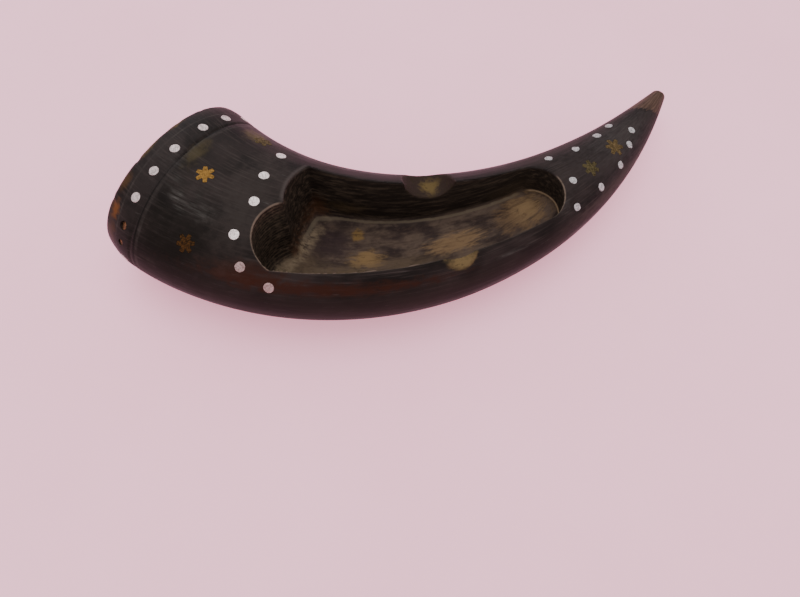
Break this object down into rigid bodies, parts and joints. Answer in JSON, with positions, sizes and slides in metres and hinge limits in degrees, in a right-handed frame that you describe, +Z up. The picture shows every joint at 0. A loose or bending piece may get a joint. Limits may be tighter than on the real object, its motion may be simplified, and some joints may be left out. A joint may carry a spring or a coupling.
{
  "type": "carved horn ashtray",
  "caption": "Curved dark buffalo-horn ashtray with a deep carved tray, round rests across its rims, inlaid metal pins and stars, and a wooden plug in its mouth.",
  "frame": {"origin": "centre of the bounding box, at the height of the ground flat under the horn", "axes": "+X along the horn's chord from the mouth to the tip, +Y to the concave side, +Z up"},
  "size_m": [0.2682, 0.1146, 0.0533],
  "materials": {
    "horn": "satin-polished dark horn (keratin), brown where it is carved thin",
    "plug_wood": "stained wood, matt",
    "pin_metal": "filed flush, cross-hatched by wear",
    "worn_metal": "tarnished, sunk below the surface",
    "star_brass": "tarnished brass, filed flush"
  },
  "bodies": {
    "root": {"horn_body": "horn", "end_plug": "plug_wood", "rim_pin_01": "pin_metal", "rim_pin_02": "pin_metal", "rim_pin_03": "pin_metal", "rim_pin_04": "pin_metal", "rim_pin_05": "pin_metal", "rim_pin_06": "pin_metal", "rim_pin_07": "pin_metal", "rim_pin_08": "pin_metal", "rim_pin_09": "worn_metal", "rim_pin_10": "worn_metal", "rim_pin_11": "pin_metal", "rim_pin_12": "pin_metal", "tray_pin_01": "pin_metal", "tray_pin_02": "pin_metal", "tray_pin_03": "pin_metal", "tray_pin_04": "pin_metal", "tray_pin_05": "pin_metal", "tray_pin_06": "pin_metal", "tip_pin_01": "pin_metal", "tip_pin_02": "pin_metal", "tip_pin_03": "pin_metal", "tip_pin_04": "pin_metal", "tip_pin_05": "pin_metal", "tip_pin_06": "pin_metal", "tip_pin_07": "pin_metal", "tip_pin_08": "pin_metal", "tip_pin_09": "pin_metal", "tip_pin_10": "pin_metal", "star_01": "star_brass", "star_02": "star_brass", "star_03": "star_brass", "star_04": "star_brass", "star_05": "star_brass"}
  },
  "joints": []
}
